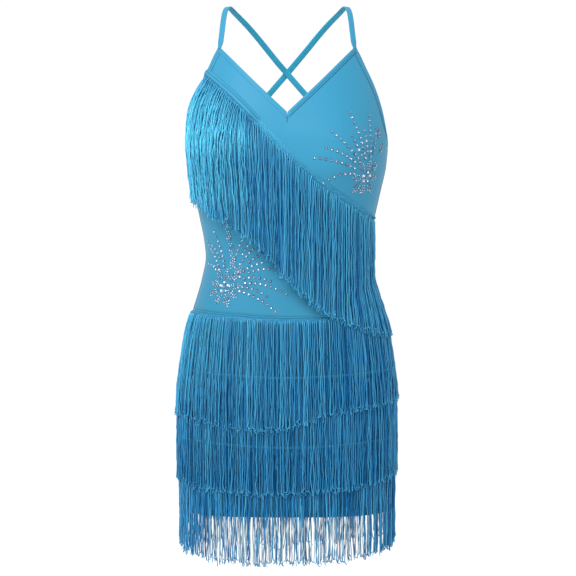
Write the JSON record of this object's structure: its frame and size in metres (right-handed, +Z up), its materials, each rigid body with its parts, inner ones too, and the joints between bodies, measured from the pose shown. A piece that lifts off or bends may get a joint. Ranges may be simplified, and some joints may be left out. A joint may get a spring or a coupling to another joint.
{
  "type": "latin dance dress",
  "caption": "Short sleeveless dance dress with a V neck, crossed back straps, a diagonal bodice fringe and tiers of skirt fringe, filled out as when worn.",
  "frame": {"origin": "midway between the tops of the two straps, level with their undersides, where the wearer's shoulders carry the dress", "axes": "+Z up, -Y the front of the dress, +X to the right of someone who looks at its front"},
  "size_m": [0.3269, 0.2414, 0.7912],
  "materials": {
    "knit": "light blue stretch knit with a soft sheen",
    "fringe": "blue chainette fringe on a woven head"
  },
  "bodies": {
    "root": {"front_upper_panel": "knit", "front_lower_panel": "knit", "back_panel": "knit", "skirt_front_panel": "knit", "skirt_back_panel": "knit", "neck_binding_left": "knit", "neck_binding_right": "knit", "armhole_binding_left": "knit", "armhole_binding_right": "knit", "back_binding": "knit", "strap_left": "knit", "strap_right": "knit", "diagonal_fringe": "fringe", "skirt_fringe_1": "fringe", "skirt_fringe_2": "fringe", "skirt_fringe_3": "fringe"}
  },
  "joints": []
}
